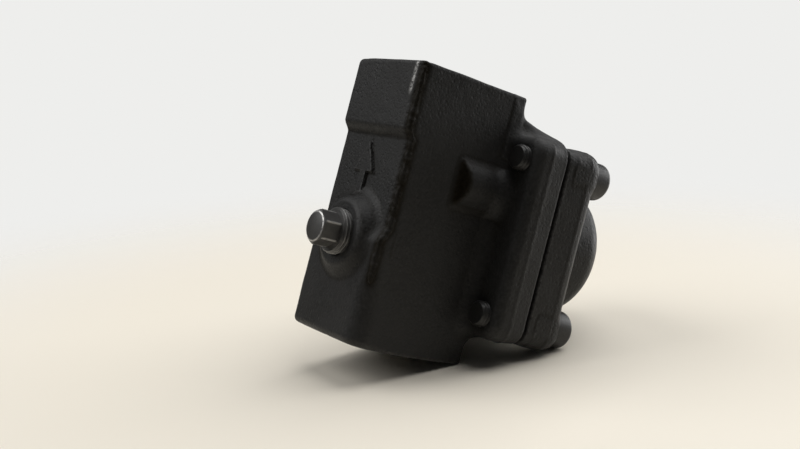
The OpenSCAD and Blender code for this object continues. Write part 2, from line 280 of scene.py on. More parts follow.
def surface_nets(shape, low, high, cell):
    """Points and quads of the surface where shape(x, y, z) is 0."""
    axes = [np.arange(a - 2 * cell, b + 3 * cell, cell) for a, b in zip(low, high)]
    size = tuple(len(a) for a in axes)
    values = np.broadcast_to(shape(*np.meshgrid(*axes, indexing="ij", sparse=True)), size)
    inside = values < 0
    corners = [(i, j, k) for i in (0, 1) for j in (0, 1) for k in (0, 1)]

    def at(array, offset):
        return array[tuple(slice(o, n - 1 + o) for o, n in zip(offset, size))]

    count = sum(at(inside, c).astype(np.int8) for c in corners)
    mixed = (count > 0) & (count < 8)
    cells = np.argwhere(mixed)
    index = np.full(mixed.shape, -1)
    index[mixed] = np.arange(len(cells))

    total, hits = np.zeros((len(cells), 3)), np.zeros(len(cells))
    for axis in range(3):
        step = np.eye(3, dtype=int)[axis]
        for c in corners:
            if c[axis]:
                continue
            first, second = cells + c, cells + c + step
            a, b = values[tuple(first.T)], values[tuple(second.T)]
            cross = (a < 0) != (b < 0)
            share = np.where(cross, a / np.where(cross, a - b, 1), 0)
            total += np.where(cross[:, None], np.array(c) + share[:, None] * step, 0)
            hits += cross
    points = np.array([a[0] for a in axes]) + (cells + total / hits[:, None]) * cell

    quads = []
    for axis in range(3):
        b, c = (axis + 1) % 3, (axis + 2) % 3
        near = [slice(1, n - 1) for n in size]
        near[axis] = slice(0, size[axis] - 1)
        far = list(near)
        far[axis] = slice(1, size[axis])
        from_in, to_in = inside[tuple(near)], inside[tuple(far)]
        spots = np.argwhere(from_in != to_in) + [0 if d == axis else 1 for d in range(3)]
        outward = inside[tuple(spots.T)]
        ring = []
        for back_b, back_c in ((0, 0), (1, 0), (1, 1), (0, 1)):
            spot = spots.copy()
            spot[:, b] -= back_b
            spot[:, c] -= back_c
            ring.append(index[tuple(spot.T)])
        ring = np.stack(ring, 1)
        ring[~outward] = ring[~outward][:, ::-1]
        quads.append(ring)
    return points, np.concatenate(quads)


def gradient(shape, points, step=0.05):
    out = np.zeros_like(points)
    for axis in range(3):
        shift = np.zeros(3)
        shift[axis] = step
        out[:, axis] = (shape(*(points + shift).T) - shape(*(points - shift).T)) / (2 * step)
    return out


def settle(shape, points, rounds=2):
    """Moves points onto the surface."""
    for _ in range(rounds):
        slope = gradient(shape, points)
        square = np.maximum((slope * slope).sum(1), 0.3)
        points = points - (shape(*points.T) / square)[:, None] * slope
    return points


def relax(points, quads, rounds, shape):
    """Evens out the mesh: each point moves towards its neighbours' middle, then back to the surface."""
    a = quads.ravel()
    b = np.roll(quads, -1, 1).ravel()
    near = np.bincount(a, minlength=len(points)) + np.bincount(b, minlength=len(points))
    for _ in range(rounds):
        middle = np.zeros_like(points)
        for axis in range(3):
            middle[:, axis] = (np.bincount(a, points[b, axis], len(points))
                               + np.bincount(b, points[a, axis], len(points)))
        points = settle(shape, points + 0.5 * (middle / near[:, None] - points), 1)
    return points


def bend_of(shape, points, step=0.7):
    """Sum of the surface's two curvatures, per millimetre: above 0 on edges, below 0 in creases."""
    total = -6 * shape(*points.T)
    for axis in range(3):
        for sign in (-1, 1):
            shift = np.zeros(3)
            shift[axis] = sign * step
            total = total + shape(*(points + shift).T)
    return total / step ** 2


def set_mask(mesh, name, values):
    layer = mesh.attributes.new(name, "FLOAT", "POINT")
    layer.data.foreach_set("value", np.clip(values, 0, 1).astype(np.float32))


def lathe(name, profile, centre, axis, steps=72):
    """Closed solid turned from (radius, place along axis) points, which rise from axis to axis."""
    points, rings = [], []
    for r, along in profile:
        count = 1 if r == 0 else steps
        rings.append(range(len(points), len(points) + count))
        for i in range(count):
            turn = 2 * math.pi * i / steps
            points.append((r * math.cos(turn), r * math.sin(turn), along))
    faces = []
    for low, high in zip(rings, rings[1:]):
        for i in range(steps):
            quad = [low[i % len(low)], low[(i + 1) % len(low)],
                    high[(i + 1) % len(high)], high[i % len(high)]]
            faces.append(list(dict.fromkeys(quad)))
    towards = Vector(axis).to_track_quat("Z", "Y").to_matrix()
    placed = np.array(points) @ np.array(towards).T + centre
    return mesh_mm(name, placed, faces)


def cut(obj, tools, material, operation="DIFFERENCE"):
    """Machines obj with the tool meshes, whose faces bring their material with them."""
    for mesh in tools:
        mesh.materials.append(material)
        tool = new_object("tool", mesh)
        step = obj.modifiers.new("cut", "BOOLEAN")
        step.operation = operation
        step.solver = "MANIFOLD"
        step.object = tool
        step.material_mode = "TRANSFER"
        depsgraph = bpy.context.evaluated_depsgraph_get()
        made = bpy.data.meshes.new_from_object(obj.evaluated_get(depsgraph))
        obj.modifiers.remove(step)
        old, obj.data = obj.data, made
        made.name = obj.name
        bpy.data.meshes.remove(old)
        bpy.data.objects.remove(tool)


def finish_edges(mesh, angle=32):
    mesh.polygons.foreach_set("use_smooth", [True] * len(mesh.polygons))
    mesh.set_sharp_from_angle(angle=math.radians(angle))


# ================================================================ materials
def empty_material(name):
    material = bpy.data.materials.new(name)
    material.use_nodes = True
    material.node_tree.nodes.clear()
    return material, material.node_tree.nodes, material.node_tree.links


class Graph:
    """Short ways to make the few kinds of node that the finishes use."""

    def __init__(self, name):
        self.material, self.nodes, self.links = empty_material(name)
        out = self.nodes.new("ShaderNodeOutputMaterial")
        self.shader = self.nodes.new("ShaderNodeBsdfPrincipled")
        self.links.new(self.shader.outputs[0], out.inputs[0])
        self.place = self.nodes.new("ShaderNodeTexCoord").outputs["Object"]

    def put(self, socket, value):
        """Links a node's output to the socket, or writes a plain value on it."""
        if isinstance(value, bpy.types.NodeSocket):
            self.links.new(value, socket)
        else:
            socket.default_value = value

    def noise(self, size_mm, detail=2.0, rough=0.5):
        node = self.nodes.new("ShaderNodeTexNoise")
        self.links.new(self.place, node.inputs["Vector"])
        node.inputs["Scale"].default_value = 1 / (size_mm * MM)
        node.inputs["Detail"].default_value = detail
        node.inputs["Roughness"].default_value = rough
        return node.outputs["Fac"]

    def spots(self, size_mm):
        node = self.nodes.new("ShaderNodeTexVoronoi")
        self.links.new(self.place, node.inputs["Vector"])
        node.inputs["Scale"].default_value = 1 / (size_mm * MM)
        return node.outputs["Distance"]

    def mask(self, name):
        node = self.nodes.new("ShaderNodeAttribute")
        node.attribute_name = name
        return node.outputs["Fac"]

    def radius_about(self, height):
        """Distance from the line along Y at x = 0 and this height, and place along it, in metres."""
        split = self.nodes.new("ShaderNodeSeparateXYZ")
        self.links.new(self.place, split.inputs[0])
        x, along, z = split.outputs
        up = self.math("SUBTRACT", z, height * MM)
        square = self.math("ADD", self.math("MULTIPLY", x, x), self.math("MULTIPLY", up, up))
        return self.math("SQRT", square), along

    def remap(self, value, low, high, to_low=0.0, to_high=1.0):
        node = self.nodes.new("ShaderNodeMapRange")
        node.interpolation_type = "SMOOTHSTEP"
        self.links.new(value, node.inputs["Value"])
        for key, v in zip(("From Min", "From Max", "To Min", "To Max"), (low, high, to_low, to_high)):
            node.inputs[key].default_value = v
        return node.outputs["Result"]

    def math(self, kind, a, b=0.0):
        node = self.nodes.new("ShaderNodeMath")
        node.operation = kind
        self.put(node.inputs[0], a)
        self.put(node.inputs[1], b)
        return node.outputs[0]

    def mix(self, share, a, b):
        node = self.nodes.new("ShaderNodeMix")
        node.data_type = "RGBA"
        self.put(node.inputs["Factor"], share)
        self.put(node.inputs["A"], a)
        self.put(node.inputs["B"], b)
        return node.outputs["Result"]

    def bump(self, height, depth_mm, under=None):
        node = self.nodes.new("ShaderNodeBump")
        node.inputs["Distance"].default_value = depth_mm * MM
        self.links.new(height, node.inputs["Height"])
        if under is not None:
            self.links.new(under, node.inputs["Normal"])
        return node.outputs[0]


def mm(*values):
    return [v * MM for v in values]


def grey(value, warm=0.0):
    """Grey of this brightness, tinted towards brown by the share warm."""
    return (value * (1 + warm), value, value * (1 - 1.6 * warm), 1)


def forged(name, shade, roughness):
    """Scaled forging skin: dark, finely pitted, lighter and smoother on rubbed edges, with painted shade
    in creases.
    """
    g = Graph(name)
    matt = g.math("MULTIPLY", g.math("MAXIMUM", g.mask("rough"), g.mask("dull")), 0.14)
    g.put(g.shader.inputs["Specular IOR Level"], g.math("SUBTRACT", 0.2, matt))
    broad = g.noise(14, 3)
    fine = g.noise(1.1, 4, 0.6)
    grain = g.noise(0.35, 2)
    pits = g.remap(g.spots(1.5), 0.05, 0.5)
    tone = g.mix(g.remap(broad, 0.3, 0.7), grey(shade * 0.8, 0.03), grey(shade * 1.12, 0.02))
    tone = g.mix(g.remap(fine, 0.35, 0.75), tone, grey(shade * 1.35, 0.02))
    # Painted shade: creases and the arrow's foot are darkened towards brown.
    tone = g.mix(g.math("MULTIPLY", g.mask("crease_shade"), 0.75), tone, grey(shade * 0.5, 0.14))
    scale = g.math("MULTIPLY", g.mask("rough"), g.remap(fine, 0.2, 0.5))
    tone = g.mix(scale, tone, grey(shade * 0.4, 0.3))
    # Edges lighter and smoother: rubbed metal on the edges, and a painted highlight on the arrow's rim.
    rub_and_highlight = g.math("MULTIPLY", g.mask("edge"), g.remap(fine, 0.35, 0.62))
    tone = g.mix(rub_and_highlight, tone, grey(shade * 2.6, 0.02))
    bare = g.math("MULTIPLY", g.mask("bare"), g.remap(fine, 0.3, 0.55))
    tone = g.mix(bare, tone, grey(0.3, 0.02))
    g.put(g.shader.inputs["Base Color"], tone)
    g.put(g.shader.inputs["Metallic"], g.math("MULTIPLY", bare, 0.9))
    worn = g.remap(g.math("ADD", broad, g.math("MULTIPLY", fine, 0.6)), 0.5, 1.1,
                   roughness - 0.08, roughness + 0.1)
    g.put(g.shader.inputs["Roughness"], g.math("SUBTRACT", worn, g.math("MULTIPLY", rub_and_highlight, 0.15)))
    normal = g.bump(pits, 0.07)
    normal = g.bump(fine, 0.13, normal)
    normal = g.bump(grain, 0.07, normal)
    g.links.new(normal, g.shader.inputs["Normal"])
    return g.material


def machined(name, shade, roughness, warm=0.02, stain=0.35):
    """Turned or ground metal with fine scratches and faint stains."""
    g = Graph(name)
    stains = g.noise(6, 4, 0.6)
    scratch = g.noise(0.5, 3, 0.7)
    tone = g.mix(g.remap(stains, 0.45, 0.75, 0, stain), grey(shade, warm), grey(shade * 0.45, warm * 2))
    g.put(g.shader.inputs["Base Color"], tone)
    g.put(g.shader.inputs["Metallic"], 1.0)
    g.put(g.shader.inputs["Roughness"], g.remap(scratch, 0.3, 0.7, roughness - 0.07, roughness + 0.09))
    g.links.new(g.bump(scratch, 0.03), g.shader.inputs["Normal"])
    return g.material


def blackened(name, shade, roughness, worn=None):
    """Oxide-blackened steel. worn(g) gives the share of bare metal where its edges have been knocked."""
    g = Graph(name)
    broad = g.noise(5, 3)
    fine = g.noise(0.8, 4, 0.65)
    tone = g.mix(g.remap(broad, 0.35, 0.7), grey(shade, 0.03), grey(shade * 1.35, 0.03))
    knocks = g.math("MULTIPLY", worn(g) if worn else 0.0, g.remap(fine, 0.3, 0.5))
    tone = g.mix(knocks, tone, grey(0.5, 0.02))
    g.put(g.shader.inputs["Base Color"], tone)
    g.put(g.shader.inputs["Metallic"], g.math("ADD", 0.25, g.math("MULTIPLY", knocks, 0.7)))
    g.put(g.shader.inputs["Roughness"], g.remap(fine, 0.3, 0.7, roughness - 0.08, roughness + 0.1))
    g.links.new(g.bump(fine, 0.06), g.shader.inputs["Normal"])
    return g.material


def plug_wear(g):
    """Bright ring round the plug's turned face, and bright hex corners and thread crests."""
    radius, along = g.radius_about(PLUG_Z)
    face_r = PLUG_HEX / 2
    ring = g.math("MULTIPLY", g.remap(radius, *mm(face_r - 0.75, face_r - 0.45)),
                  g.remap(radius, *mm(face_r + 0.05, face_r - 0.25)))
    ring = g.math("MULTIPLY", ring, g.remap(along, *mm(PLUG_FACE_Y + 0.9, PLUG_FACE_Y + 0.4)))
    corners = g.math("MULTIPLY", g.remap(radius, *mm(PLUG_HEX_CORNER_R - 0.32, PLUG_HEX_CORNER_R - 0.1)),
                     g.remap(along, *mm(PLUG_HEX_END_Y, PLUG_HEX_END_Y - 0.3)))
    crests = g.remap(radius, *mm(PLUG_THREAD_R - 0.22, PLUG_THREAD_R - 0.02), 0.0, 0.35)
    return g.math("MAXIMUM", g.math("MAXIMUM", ring, corners), crests)


def wound(name):
    """Spiral-wound gasket: fine rings of steel strip and graphite."""
    g = Graph(name)
    radius, _ = g.radius_about(STEM_Z)
    rings = g.math("SINE", g.math("MULTIPLY", radius, 2 * math.pi / (0.6 * MM)))
    tone = g.mix(g.remap(rings, -0.3, 0.3), grey(0.03), grey(0.32))
    g.put(g.shader.inputs["Base Color"], tone)
    g.put(g.shader.inputs["Metallic"], g.remap(rings, -0.3, 0.3, 0.1, 0.9))
    g.put(g.shader.inputs["Roughness"], g.remap(g.noise(0.7), 0.3, 0.7, 0.4, 0.6))
    g.links.new(g.bump(rings, 0.06), g.shader.inputs["Normal"])
    return g.material


BODY_SKIN = forged("forged_skin", 0.017, 0.5)
COVER_SKIN = forged("cover_skin", 0.018, 0.42)
BORE_METAL = machined("bored_metal", 0.30, 0.34)
SCREW_SKIN = blackened("screw_skin", 0.016, 0.42)
PLUG_SKIN = blackened("plug_skin", 0.05, 0.40, plug_wear)


# ================================================================ body
def front_of(z):
    """Y of the front face at height z: two port pads with a relief between them."""
    return FRONT_Y + RELIEF * smooth(PAD_Z, PAD_FOOT_Z, z) * smooth(RAMP_FOOT_Z, RAMP_TOP_Z, z)


def arrow_outline(x, z):
    """Distance outside the flow arrow's outline, on the front face."""
    side, drop = np.abs(x - ARROW_X), ARROW_TIP_Z - z
    width, length = ARROW_HEAD
    slant = math.atan2(width / 2, length)
    head = np.maximum(side * math.cos(slant) - drop * math.sin(slant), drop - length)
    shaft = np.maximum(side - ARROW_SHAFT[0] / 2, np.abs(drop - length - ARROW_SHAFT[1] / 2)
                       - ARROW_SHAFT[1] / 2 - 0.5)
    return np.minimum(head, shaft)


def arrow_shape(x, y, z):
    """Arrow standing proud of the front face, open towards the block."""
    return rounded_and(arrow_outline(x, z), front_of(z) - ARROW_PROUD - y, ARROW_EDGE_R)


def flash_line(x, y, z):
    """Distance to the line along the block's front corners where the dies met."""
    left = smooth(0, -4, x)
    setback = FLASH_SETBACK + (FLASH_SETBACK_LEFT - FLASH_SETBACK) * left
    return np.hypot(np.abs(x) - BLOCK_HALF + FLASH_INSET, y - front_of(z) - setback)


def flash_bead(x, y, z):
    """Ragged bead on the flash line, which fades out at the top end and towards the soft lower corner."""
    lump = lumps(np.sign(x), 0, z, FLASH_LUMPS)
    fade = smooth(FLASH_END_Z - 4, FLASH_END_Z + 3, z) * smooth(BLOCK_H, BLOCK_H - 3, z)
    return flash_line(x, y, z) - (FLASH_R + 0.5 * lump) * fade + 1.5 * (1 - fade)


def torn_band(x, y, z, width, onset):
    """1 on the flash line, fading over this width and, over the onset, towards the line's lower end."""
    return np.exp(-(flash_line(x, y, z) / width) ** 2) * smooth(FLASH_END_Z - 3, FLASH_END_Z + onset, z)


def ridge_nose(x, y):
    """Distance in front of the side ridges' sloping nose."""
    lean = RIDGE_NOSE_SLOPE
    return (RIDGE_START_Y - y) * math.cos(lean) + (np.abs(x) - BLOCK_HALF) * math.sin(lean)


def nose_mask(x, y, z):
    """1 on the torn noses of the side ridges."""
    near = smooth(1.6, 0.3, np.abs(ridge_nose(x, y)))
    within = smooth(RIDGE_R + 0.5, RIDGE_R - 1.5, np.abs(z - RIDGE_Z))
    return near * within * smooth(BLOCK_HALF - 0.2, BLOCK_HALF + 0.9, np.abs(x))


def block_shape(x, y, z):
    """Block between rounded ends. Its front corner on the +X side is broad, and broadest low down."""
    front_r = SHEARED_CORNER_R + (SOFT_CORNER_R - SHEARED_CORNER_R) * smooth(*SOFT_CORNER_Z, z)
    corner_r = CORNER_R + (front_r - CORNER_R) * smooth(0, 10, x) * smooth(6, -6, y)
    slab = np.maximum(front_of(z) - y, y - BACK_Y)
    upright = rounded_and(np.abs(x) - BLOCK_HALF, slab, corner_r)
    foot_r = END_R + (TOE_R - END_R) * smooth(-6, -16, y)
    crown = END_CROWN * (y / BACK_Y) ** 2
    block = rounded_and(upright, crown - z, foot_r)
    top_r = END_R + (SOFT_END_R - END_R) * smooth(-10, -20, x) * smooth(0, -15, y)
    return rounded_and(block, z - BLOCK_H, top_r)


def ridge_shape(x, y, z):
    """Ridges over the outlet passage, with a sheared nose."""
    ridge = np.hypot(np.abs(x) - RIDGE_X, z - RIDGE_Z) - RIDGE_R
    ridge = rounded_and(ridge, ridge_nose(x, y), RIDGE_NOSE_R)
    return np.maximum(ridge, y - GASKET_Y + 4)


def rim_of(along):
    """Half width of a flange at this distance along Y from its parting ridge, drafted both ways."""
    return FLANGE_HALF - RIM_RIDGE - RIM_DRAFT * np.abs(along)


def flange_shape(x, y, z):
    """Square flange with draft on its rim and a faint parting ridge."""
    ridge_line = np.exp(-((y - PARTING_Y) / 0.7) ** 2)
    half = rim_of(y - PARTING_Y) + RIM_RIDGE * ridge_line
    flange = rounded_square(x, z - STEM_Z, half, FLANGE_CORNER_R)
    return rounded_and(flange, FLANGE_FRONT_Y - y, FLANGE_EDGE_R)


def web_shape(x, y, z):
    """Sloping web from the outlet neck down to the flange's top edge, fanning out as it goes."""
    flange_top, run = STEM_Z + FLANGE_HALF, GASKET_Y - BACK_Y
    lean = math.atan2(NECK_WEB_H, run)
    web = (z - flange_top) * math.cos(lean) + (y - GASKET_Y) * math.sin(lean)
    spread = WEB_SPREAD * np.maximum(y - BACK_Y, 0)
    side = (np.abs(x) - BLOCK_HALF + WEB_INSET - spread) / math.hypot(1, WEB_SPREAD)
    web = rounded_and(web, side, WEB_EDGE_R)
    return np.maximum(web, np.maximum(flange_top - 8 - z, BACK_Y - 4 - y))


def plug_boss_shape(x, y, z):
    """Round boss of the plug, a shallow cone that reaches into the block."""
    reach = front_of(np.array(PLUG_Z)) + RELIEF - BOSS_Y
    grow = (PLUG_BOSS_BASE_R - PLUG_BOSS_R) / reach
    cone = (np.hypot(x, z - PLUG_Z) - PLUG_BOSS_R - grow * (y - BOSS_Y)) * math.cos(math.atan(grow))
    boss = rounded_and(cone, BOSS_Y - y, PLUG_BOSS_EDGE_R)
    return np.maximum(boss, y - FRONT_Y - RELIEF - 3)


def body_shape(x, y, z):
    """Signed distance outside the body forging as it was drawn, before any unevenness."""
    block = rounded_or(block_shape(x, y, z), flash_bead(x, y, z), FLASH_BLEND_R)
    block = rounded_or(block, ridge_shape(x, y, z), RIDGE_FILLET_R)
    block = rounded_or(block, web_shape(x, y, z), WEB_FILLET_R)
    both = rounded_or(block, flange_shape(x, y, z), FLANGE_FILLET_R)
    both = rounded_and(both, y - GASKET_Y, JOINT_EDGE_R)
    both = rounded_or(both, plug_boss_shape(x, y, z), PLUG_BOSS_FILLET_R)
    return rounded_or(both, np.maximum(arrow_shape(x, y, z), y), ARROW_FILLET_R)


def body_skin(x, y, z):
    """Body with the unevenness of forging, but with a true joint face."""
    torn = torn_band(x, y, z, 1.7, 4) + 0.8 * nose_mask(x, y, z)
    rough = torn * lumps(x, y, z, TORN_LUMPS)
    faces = smooth(0.0, 1.5, GASKET_Y - y)
    return body_shape(x, y, z) + (lumps(x, y, z, BODY_WAVES) + BODY_SKIN_DEPTH) * faces + rough


def port_tool(start, way, end):
    """Socket, then the narrower flow bore, along Z."""
    r, depth = PORT["r_mm"], PORT["length_mm"]
    profile = [(0, -1), (r + 1.6, -1), (r + 0.6, 0), (r, 0.6), (r, depth),
               (FLOW_BORE_R, depth), (FLOW_BORE_R, end), (0, end)]
    return lathe("port", profile, (0, 0, start), (0, 0, way))


def strainer_tool():
    """Tapered plug thread, screen pocket and feed passage, along Y from the plug boss."""
    pocket_end, feed_end = SCREEN_POCKET_Y - BOSS_Y, FEED_END_Y - BOSS_Y
    profile = [(0, -1), (PLUG_THREAD_R + 0.7, -1), (PLUG_THREAD_R + 0.05, 0.4),
               (PLUG_THREAD_R - 0.35, PLUG_THREAD_L), (SCREEN_POCKET_R, PLUG_THREAD_L),
               (SCREEN_POCKET_R, pocket_end), (FEED_R, pocket_end), (FEED_R, feed_end), (0, feed_end)]
    return lathe("strainer_pocket", profile, (0, BOSS_Y, PLUG_Z), (0, 1, 0))


def chamber_tool():
    """Seat's nose and thread holes, then the element chamber, along Y to the joint face."""
    profile = [(0, 0), (SEAT_NOSE_R, 0), (SEAT_NOSE_R, SEAT_THREAD_Y), (SEAT_THREAD_R, SEAT_THREAD_Y),
               (SEAT_THREAD_R, SEAT_FLOOR_Y), (SEAT_POCKET_R, SEAT_FLOOR_Y),
               (SEAT_POCKET_R, CHAMBER_STEP_Y), (CHAMBER_R, CHAMBER_STEP_Y), (CHAMBER_R, GASKET_Y - 0.5),
               (CHAMBER_R + 0.5, GASKET_Y), (CHAMBER_R + 0.5, GASKET_Y + 1), (0, GASKET_Y + 1)]
    return lathe("chamber", profile, (0, 0, STEM_Z), (0, 1, 0))


def body_tools():
    """Everything machined in the body: ports, strainer, chamber and screw holes."""
    tools = [port_tool(0, 1, INLET_BORE_TOP_Z), port_tool(BLOCK_H, -1, BLOCK_H - OUTLET_BORE_BOTTOM_Z),
             strainer_tool(), chamber_tool()]
    hole = [(0, SCREW_HOLE_Y), (SCREW_R + 0.03, SCREW_HOLE_Y), (SCREW_R + 0.03, GASKET_Y - 0.6),
            (SCREW_R + 0.7, GASKET_Y), (SCREW_R + 0.7, GASKET_Y + 1), (0, GASKET_Y + 1)]
    for sx, sz in SCREW_CORNERS:
        tools.append(lathe("screw_hole", hole, (sx * SCREW_X, 0, STEM_Z + sz * SCREW_X), (0, 1, 0), 40))
    return tools


def forging(name, shape, skin, low, high, material):
    """Mesh of the skin inside the box, its points, and their edge mask and crease mask for painted shade.
    """
    points, quads = surface_nets(shape, low, high, CELL)
    points = settle(shape, points)
    points = relax(points, quads, 3, shape)
    bend = bend_of(shape, points)
    points = settle(skin, points, 3)
    points = np.clip(points, low, high)
    mesh = mesh_mm(name, points, quads.tolist())
    mesh.materials.append(material)
    return new_object(name, mesh), points, smooth(0.22, 0.9, bend), smooth(0.08, 0.3, -bend)


def mask_body(mesh, points, edge, crease_shade):
    """Masks for rubbed edges, the arrow rim's painted highlight, painted shade in creases and at the
    arrow's foot, torn metal and one bare streak.
    """
    x, y, z = points.T
    on_front = smooth(FRONT_Y + RELIEF + 1, FRONT_Y + RELIEF, y)
    outline = arrow_outline(x, z)
    # Painted highlight along the arrow's rim, and painted shade round its foot.
    arrow_rim = on_front * smooth(-0.8, -0.3, outline) * smooth(0.25, 0.0, outline)
    arrow_foot = on_front * smooth(0.0, 0.25, outline) * smooth(0.9, 0.4, outline)
    nose = nose_mask(x, y, z)
    torn = torn_band(x, y, z, 1.9, 2)
    from_corner = np.hypot(x - BLOCK_HALF + SHEARED_CORNER_R, y - FRONT_Y - 0.1)
    set_mask(mesh, "edge", np.maximum(edge * (1 - 0.8 * nose) * (1 - torn), arrow_rim))
    set_mask(mesh, "crease_shade", np.maximum(crease_shade, arrow_foot))
    set_mask(mesh, "dull", arrow_foot)
    set_mask(mesh, "rough", 1.4 * torn + nose)
    set_mask(mesh, "bare", smooth(*RUBBED_Z, z) * smooth(1.1, 0.3, from_corner))


def make_body():
    body, points, edge, crease_shade = forging("trap_forging", body_shape, body_skin, body_low, body_high,
                                         BODY_SKIN)
    mask_body(body.data, points, edge, crease_shade)
    cut(body, body_tools(), BORE_METAL)
    finish_edges(body.data)
    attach(body, "trap_body")
    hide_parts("body")
    return body


# ================================================================ cover
def cover_shape(x, y, z):
    """Signed distance outside the cover forging: drafted plate, crowned dome and round screw pads."""
    rise, up = y - COVER_Y, z - STEM_Z
    ridge_line = np.exp(-((rise - COVER_PARTING) / 0.6) ** 2)
    half = rim_of(rise - COVER_PARTING) + RIM_RIDGE * ridge_line
    plate = rounded_square(x, up, half, FLANGE_CORNER_R)
    plate = rounded_and(plate, rise - COVER_T, COVER_EDGE_R)
    plate = rounded_and(plate, -rise, JOINT_EDGE_R)
    rho = np.hypot(x, up)
    crown = rise - (DOME_Y - COVER_Y) + DOME_CROWN * (rho / DOME_R) ** 2
    dome = rounded_and(rho - DOME_R, crown, DOME_EDGE_R)
    dome = np.maximum(dome, 2 - rise)
    both = rounded_or(plate, dome, DOME_FOOT_R)
    pad = np.hypot(np.abs(x) - SCREW_X, np.abs(up) - SCREW_X) - SCREW_PAD_R
    pad = rounded_and(pad, rise - COVER_T + 0.3, 0.9)
    pad = rounded_and(pad, 4 - rise, 0.5)
    pad = np.maximum(pad, rounded_square(x, up, half - 0.2, FLANGE_CORNER_R))
    return rounded_or(both, pad, 1.2)


def cover_skin(x, y, z):
    """Cover with the unevenness of forging, but with a true joint face."""
    faces = smooth(0.0, 1.5, y - COVER_Y)
    return cover_shape(x, y, z) + (lumps(x, y, z, COVER_WAVES) + COVER_SKIN_DEPTH) * faces


def cover_tools():
    """Inside of the dome, and the screws' clearance holes with their spot faces."""
    inner_r, top = DOME_R - DOME_WALL, DOME_Y - COVER_Y - DOME_WALL
    edge = DOME_EDGE_R - DOME_WALL / 2
    dome = [(0, -1), (inner_r, -1)]
    dome += rounded_corner(edge, inner_r - edge, top - edge - DOME_CROWN, 80, 10)
    dome += [(0, top)]
    tools = [lathe("dome_inside", dome, (0, COVER_Y, STEM_Z), (0, 1, 0), 96)]
    spot = [(0, COVER_Y - 1), (SCREW_R + 0.4, COVER_Y - 1), (SCREW_R + 0.4, SCREW_SEAT_Y),
            (SPOT_R, SCREW_SEAT_Y), (SPOT_R, SCREW_SEAT_Y + 4), (0, SCREW_SEAT_Y + 4)]
    for sx, sz in SCREW_CORNERS:
        tools.append(lathe("screw_hole", spot, (sx * SCREW_X, 0, STEM_Z + sz * SCREW_X), (0, 1, 0), 48))
    return tools


def make_cover():
    cover, _, edge, crease_shade = forging("domed_cover", cover_shape, cover_skin, cover_low, cover_high,
                                     COVER_SKIN)
    set_mask(cover.data, "edge", edge)
    # The cover's creases get painted shade.
    set_mask(cover.data, "crease_shade", crease_shade)
    cut(cover, cover_tools(), BORE_METAL)
    finish_edges(cover.data)
    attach(cover, "trap_body")
    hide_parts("cover")
    return cover


# ================================================================ screws and plug
def threaded(name, radius, depth, pitch, start, end, centre, taper=0.0, steps=48, run_in=1.0):
    """Solid rod along Y with a helical thread, which grows over its first run_in millimetres."""
    rows = int((end - start) / pitch * 8)
    points = [(0, start, 0)]
    for row in range(rows + 1):
        along = start + (end - start) * row / rows
        for i in range(steps):
            turn = i / steps
            phase = (along / pitch - turn) % 1
            crest = 1 - abs(2 * phase - 1)
            ramp = min(1, (along - start) / run_in)
            r = radius - taper * (along - start) - depth * (1 - min(1, crest * 1.25))
            r = min(r, radius - depth * 1.05 + depth * 1.05 * ramp)
            points.append((r * math.sin(2 * math.pi * turn), along, r * math.cos(2 * math.pi * turn)))
    points.append((0, end, 0))
    faces = []
    for i in range(steps):
        j = (i + 1) % steps
        faces.append((0, 1 + j, 1 + i))
        for row in range(rows):
            a = 1 + row * steps
            faces.append((a + i, a + j, a + steps + j, a + steps + i))
        last = 1 + rows * steps
        faces.append((last + i, last + j, len(points) - 1))
    mesh = mesh_mm(name, np.array(points) + centre, faces)
    mesh.flip_normals()
    return mesh


def prism(name, flats, turn, start, end, centre):
    """Hexagonal bar along Y."""
    r = flats / 2 / math.cos(math.pi / 6)
    points = [(r * math.sin(turn + math.pi / 3 * i), y, r * math.cos(turn + math.pi / 3 * i))
              for y in (start, end) for i in range(6)]
    faces = [tuple(range(6)), tuple(range(11, 5, -1))]
    faces += [(i, 6 + i, 6 + (i + 1) % 6, (i + 1) % 6) for i in range(6)]
    return mesh_mm(name, np.array(points) + centre, faces)


def make_screw(number, sx, sz):
    """Socket-head cap screw. Each one's hex drive stands at its own angle."""
    centre = np.array((sx * SCREW_X, 0, STEM_Z + sz * SCREW_X))
    profile = [(0, 0), (HEAD_R - 0.5, 0), (HEAD_R, 0.5)]
    profile += rounded_corner(HEAD_ROUND_R, HEAD_R - HEAD_ROUND_R, HEAD_H - HEAD_ROUND_R, 90, 8)
    profile += [(0, HEAD_H)]
    head = lathe("head", profile, (centre[0], SCREW_SEAT_Y, centre[2]), (0, 1, 0), 64)
    screw = new_object(f"cover_screw_{number}", head)
    head.materials.append(SCREW_SKIN)
    shank = threaded("shank", SCREW_R - 0.02, SCREW_THREAD_DEPTH, SCREW_PITCH, TIP_Y, SCREW_SEAT_Y + 1,
                     centre, steps=40)
    cut(screw, [shank], SCREW_SKIN, "UNION")
    drive = prism("drive", SCREW_HEX, FIRST_HEX_TURN + number, HEAD_END_Y - HEX_DEPTH, HEAD_END_Y + 1,
                  centre)
    cut(screw, [drive], SCREW_SKIN)
    finish_edges(screw.data, 40)
    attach(screw, "trap_body")
    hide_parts("cover_screws")
    return screw


